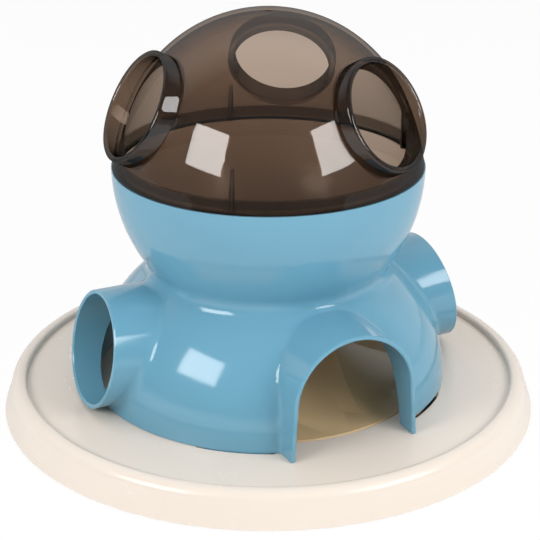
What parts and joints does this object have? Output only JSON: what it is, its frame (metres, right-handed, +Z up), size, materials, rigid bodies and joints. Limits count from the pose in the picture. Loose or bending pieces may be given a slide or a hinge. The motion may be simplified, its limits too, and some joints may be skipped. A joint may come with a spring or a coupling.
{
  "type": "cat treat feeder",
  "caption": "Round cat treat feeder: a tray carries a waisted tower with tube spouts and arches, and a treat bowl under a smoked dome with collared paw holes.",
  "frame": {"origin": "centre of the tray's footprint, on the surface it stands on", "axes": "+Z up; -Y is the front, from which one arch is seen half to the right; +X is the right-hand side"},
  "size_m": [0.33, 0.33, 0.246],
  "materials": {
    "cream_plastic": "smooth, slightly glossy",
    "foot_rubber": "matt grip pad",
    "cream_insert": "smooth, glossy",
    "blue_plastic": "high gloss",
    "cream_bowl": "smooth, glossy",
    "smoked_plastic": "clear smoked brown, high gloss"
  },
  "bodies": {
    "base": {"tray": "cream_plastic", "rubber_feet": "foot_rubber", "treat_deflector": "cream_insert"},
    "tower_body": {"tower": "blue_plastic"},
    "bowl_body": {"inner_bowl": "cream_bowl"},
    "dome_body": {"smoked_dome": "smoked_plastic"}
  },
  "joints": [
    {"name": "tower_lift", "type": "slide", "parent": "base", "child": "tower_body", "axis": [0, 0, 1], "range_m": [0, 0.08]},
    {"name": "dome_lift", "type": "slide", "parent": "tower_body", "child": "dome_body", "axis": [0, 0, 1], "range_m": [0, 0.16]},
    {"name": "bowl_lift", "type": "slide", "parent": "tower_body", "child": "bowl_body", "axis": [0, 0, 1], "range_m": [0, 0.08]}
  ],
  "couplings": [
    {"joint": "bowl_lift", "follows": "dome_lift", "ratio": 0.5}
  ]
}
